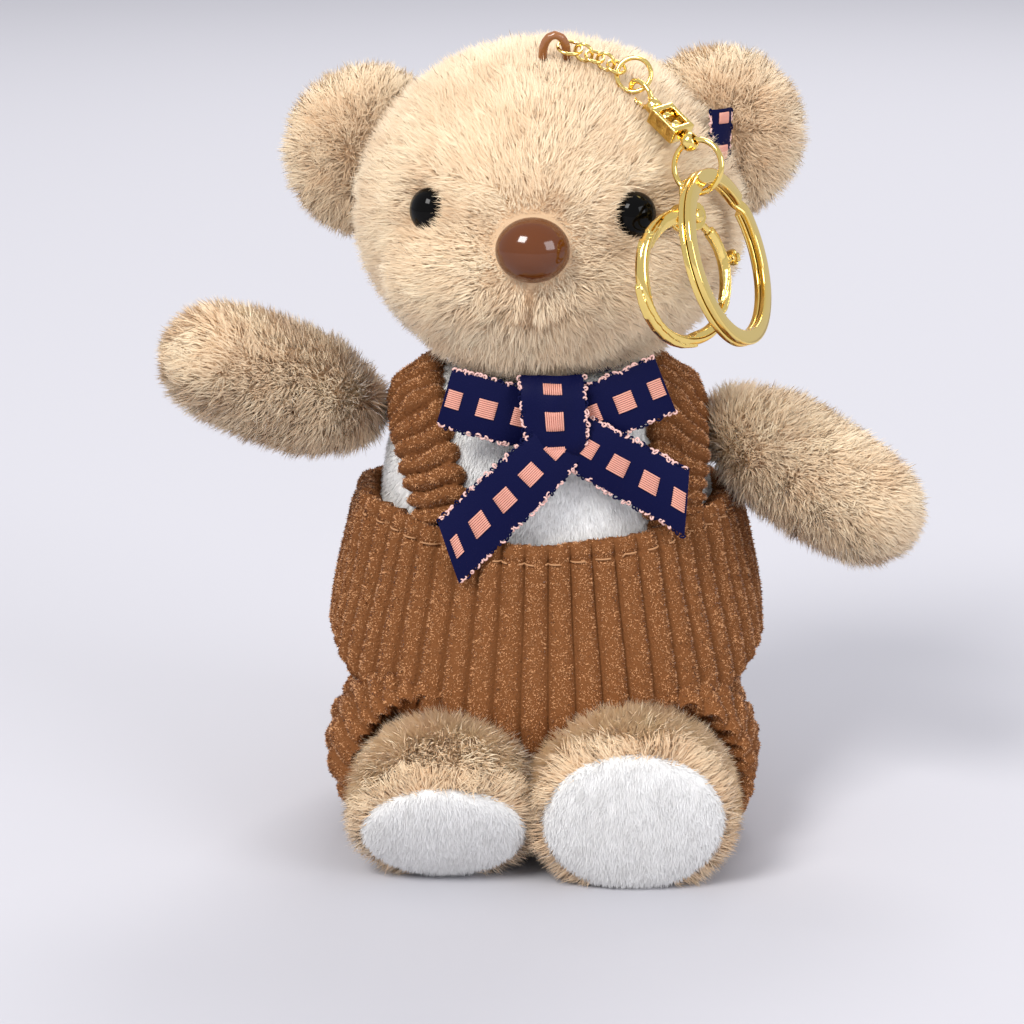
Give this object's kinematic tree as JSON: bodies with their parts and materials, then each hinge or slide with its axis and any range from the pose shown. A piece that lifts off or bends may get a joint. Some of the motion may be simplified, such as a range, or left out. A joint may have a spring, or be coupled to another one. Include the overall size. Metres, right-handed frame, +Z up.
{
  "type": "plush keychain",
  "caption": "Seated plush bear in corduroy dungarees with a ribbon bow, hung from a crown cord loop with a gold chain, swivel, spring clasp and split ring.",
  "frame": {"origin": "on the flat seat of the trousers, on the surface that the bear sits on", "axes": "+Z up; the bear faces -Y; its own left side is at +X"},
  "size_m": [0.1252, 0.0779, 0.138],
  "materials": {
    "tan_fur": "clumped short fur",
    "white_plush": "short white plush",
    "fibre_filling": "loose polyester fibre",
    "black_eye": "polished",
    "amber_nose": "polished, deep amber brown",
    "washer_plastic": "moulded",
    "brown_corduroy": "wide-wale corduroy, nubby pile",
    "navy_ribbon": "woven, with pink squares and picot edges",
    "brown_cord": "waxed twisted cord",
    "gold_metal": "bright pale gold plate",
    "spring_steel": "drawn wire"
  },
  "bodies": {
    "bear": {"head_cover": "tan_fur", "head_stuffing": "fibre_filling", "eye_right": "black_eye", "eye_washer_right": "washer_plastic", "eye_left": "black_eye", "eye_washer_left": "washer_plastic", "nose": "amber_nose", "nose_washer": "washer_plastic", "ear_cover_right": "tan_fur", "ear_stuffing_right": "fibre_filling", "ear_cover_left": "tan_fur", "ear_stuffing_left": "fibre_filling", "torso_cover": "white_plush", "torso_stuffing": "fibre_filling", "leg_cover_right": "tan_fur", "leg_stuffing_right": "fibre_filling", "sole_right": "white_plush", "leg_cover_left": "tan_fur", "leg_stuffing_left": "fibre_filling", "sole_left": "white_plush", "trousers_body": "brown_corduroy", "trouser_leg_right": "brown_corduroy", "trouser_leg_left": "brown_corduroy", "strap_right": "brown_corduroy", "strap_left": "brown_corduroy", "ribbon_neck_band": "navy_ribbon", "ribbon_knot": "navy_ribbon", "ribbon_bow_right": "navy_ribbon", "ribbon_bow_left": "navy_ribbon", "ribbon_tail_right": "navy_ribbon", "ribbon_tail_left": "navy_ribbon", "ear_ribbon_tab": "navy_ribbon", "hanging_loop": "brown_cord"},
    "arm_right": {"arm_cover_right": "tan_fur", "arm_stuffing_right": "fibre_filling"},
    "arm_left": {"arm_cover_left": "tan_fur", "arm_stuffing_left": "fibre_filling"},
    "crown_ring": {"crown_ring": "gold_metal"},
    "chain_link_1": {"chain_link_1": "gold_metal"},
    "chain_link_2": {"chain_link_2": "gold_metal"},
    "chain_link_3": {"chain_link_3": "gold_metal"},
    "chain_link_4": {"chain_link_4": "gold_metal"},
    "jump_ring": {"jump_ring": "gold_metal"},
    "swivel_eye": {"swivel_eye": "gold_metal"},
    "swivel_yoke": {"swivel_yoke": "gold_metal"},
    "swivel_lower_eye": {"swivel_lower_eye": "gold_metal"},
    "oval_link": {"oval_link": "gold_metal"},
    "clasp": {"clasp_hook": "gold_metal", "gate_pin": "gold_metal", "gate_spring": "spring_steel"},
    "clasp_gate": {"clasp_gate": "gold_metal"},
    "split_ring": {"split_ring": "gold_metal"}
  },
  "joints": [
    {"name": "crown_ring_lift", "type": "hinge", "parent": "bear", "child": "crown_ring", "pos_m": [0.00214, -0.01158, 0.13571], "axis": [-0.4109, -0.8479, -0.335], "range_deg": [0, 15]},
    {"name": "chain_link_1_sway", "type": "hinge", "parent": "crown_ring", "child": "chain_link_1", "pos_m": [0.00486, -0.0126, 0.13495], "axis": [0.153, -0.4319, 0.8888], "range_deg": [-10, 10]},
    {"name": "chain_link_2_lift", "type": "hinge", "parent": "chain_link_1", "child": "chain_link_2", "pos_m": [0.00667, -0.01326, 0.13439], "axis": [-0.4143, -0.8425, -0.3442], "range_deg": [0, 12]},
    {"name": "chain_link_3_sway", "type": "hinge", "parent": "chain_link_2", "child": "chain_link_3", "pos_m": [0.00846, -0.01387, 0.13374], "axis": [0.2469, -0.4729, 0.8458], "range_deg": [-10, 10]},
    {"name": "chain_link_4_lift", "type": "hinge", "parent": "chain_link_3", "child": "chain_link_4", "pos_m": [0.01023, -0.01443, 0.13298], "axis": [-0.419, -0.837, -0.352], "range_deg": [0, 12]},
    {"name": "jump_ring_swing", "type": "hinge", "parent": "chain_link_4", "child": "jump_ring", "pos_m": [0.01181, -0.01483, 0.13202], "axis": [-0.3839, -0.2392, -0.8919], "range_deg": [0, 20]},
    {"name": "swivel_lift", "type": "hinge", "parent": "jump_ring", "child": "swivel_eye", "pos_m": [0.01489, -0.01677, 0.12865], "axis": [-0.9567, 0.123, -0.2639], "range_deg": [0, 25]},
    {"name": "swivel_yoke_spin", "type": "hinge", "parent": "swivel_eye", "child": "swivel_yoke", "pos_m": [0.01391, -0.01586, 0.12965], "axis": [0.6082, -0.5722, -0.5502], "continuous": true},
    {"name": "swivel_lower_twist", "type": "hinge", "parent": "swivel_eye", "child": "swivel_lower_eye", "pos_m": [0.01391, -0.01586, 0.12965], "axis": [0.6082, -0.5722, -0.5502], "range_deg": [-8, 15]},
    {"name": "oval_link_swing", "type": "hinge", "parent": "swivel_lower_eye", "child": "oval_link", "pos_m": [0.02302, -0.02442, 0.12141], "axis": [-0.8082, 0.3991, -0.4331], "range_deg": [0, 15]},
    {"name": "clasp_swing", "type": "hinge", "parent": "oval_link", "child": "clasp", "pos_m": [0.02301, -0.02578, 0.11369], "axis": [0.6992, -0.6892, 0.1901], "range_deg": [-12, 18]},
    {"name": "clasp_gate_open", "type": "hinge", "parent": "clasp", "child": "clasp_gate", "pos_m": [0.02274, -0.02716, 0.10968], "axis": [-0.6992, 0.6892, -0.1901], "range_deg": [0, 28], "stiffness_Nm_per_rad": 0.004, "springref_deg": -17.19},
    {"name": "split_ring_swing", "type": "hinge", "parent": "oval_link", "child": "split_ring", "pos_m": [0.0259, -0.02741, 0.11412], "axis": [0.8589, -0.3999, 0.32], "range_deg": [-12, 18]},
    {"name": "arm_right_swing", "type": "hinge", "parent": "bear", "child": "arm_right", "pos_m": [-0.0344, -0.001, 0.0725], "axis": [0, 1, 0], "range_deg": [-18, 12], "stiffness_Nm_per_rad": 0.03},
    {"name": "arm_left_swing", "type": "hinge", "parent": "bear", "child": "arm_left", "pos_m": [0.0344, -0.001, 0.0685], "axis": [0, -1, 0], "range_deg": [-14, 16], "stiffness_Nm_per_rad": 0.03}
  ]
}
